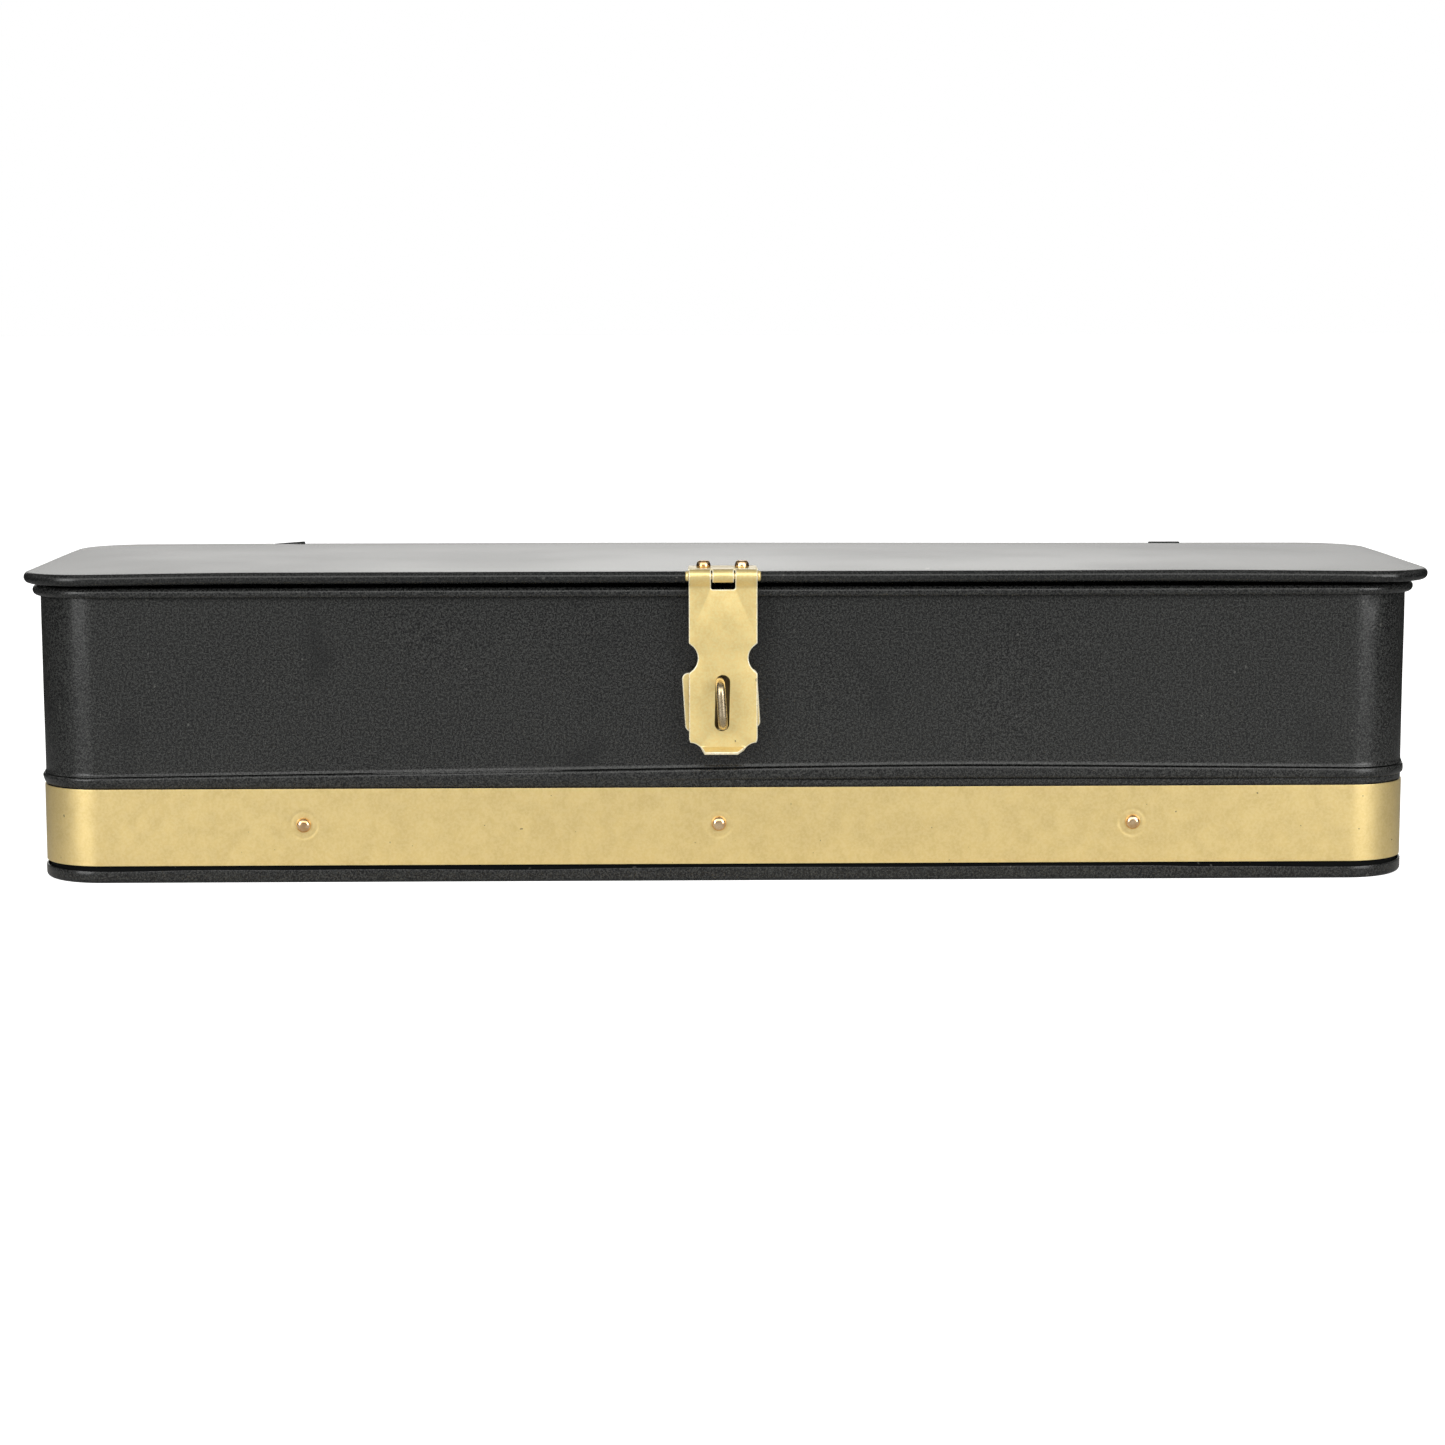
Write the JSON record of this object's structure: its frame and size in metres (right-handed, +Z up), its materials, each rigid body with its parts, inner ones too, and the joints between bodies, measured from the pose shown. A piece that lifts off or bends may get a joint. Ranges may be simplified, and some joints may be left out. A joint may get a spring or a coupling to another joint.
{
  "type": "hinged-lid metal box",
  "caption": "Long, low hinged-lid steel box with rolled edges, a riveted trim band round its foot, and a swinging hasp that closes over a staple for a padlock.",
  "frame": {"origin": "centre of the base's underside, on the surface the box stands on", "axes": "+X along the box, to the right seen from the front; -Y towards the front, where the hasp is; +Z up"},
  "size_m": [0.4, 0.124, 0.0913],
  "materials": {
    "black_paint": "satin black powder coat with a fine orange-peel texture",
    "gold_paint": "satin pale gold metallic paint",
    "brass_rivet": "polished, slightly coppery",
    "staple_brass": "dark, rubbed brass wire",
    "steel_wire": "plain drawn wire"
  },
  "bodies": {
    "case": {"body_wall": "black_paint", "rim_wire": "steel_wire", "base_pan": "black_paint", "trim_band": "gold_paint", "band_rivet_front_left": "brass_rivet", "band_rivet_front_middle": "brass_rivet", "band_rivet_front_right": "brass_rivet", "band_rivet_rear_left": "brass_rivet", "band_rivet_rear_joint_left": "brass_rivet", "band_rivet_rear_joint_right": "brass_rivet", "band_rivet_rear_right": "brass_rivet", "band_rivet_side_left": "brass_rivet", "band_rivet_side_right": "brass_rivet", "staple_plate": "gold_paint", "staple": "staple_brass", "plate_rivet_left": "gold_paint", "plate_rivet_right": "gold_paint", "hinge_tab_left": "black_paint", "hinge_tab_right": "black_paint", "hinge_rivet_left_upper": "black_paint", "hinge_rivet_left_lower": "black_paint", "hinge_rivet_right_upper": "black_paint", "hinge_rivet_right_lower": "black_paint"},
    "lid": {"lid_panel": "black_paint", "lid_edge_wire": "steel_wire", "hasp_leaf": "gold_paint", "leaf_rivet_left": "brass_rivet", "leaf_rivet_right": "brass_rivet"},
    "hasp": {"hasp_strap": "gold_paint", "hasp_pin": "gold_paint"}
  },
  "joints": [
    {"name": "lid_hinge", "type": "hinge", "parent": "case", "child": "lid", "pos_m": [0, 0.0559, 0.087], "axis": [-1, 0, 0], "range_deg": [0, 190]},
    {"name": "hasp_swing", "type": "hinge", "parent": "lid", "child": "hasp", "pos_m": [-0.0008, -0.0596, 0.08755], "axis": [-1, 0, 0], "range_deg": [-4, 220]}
  ]
}
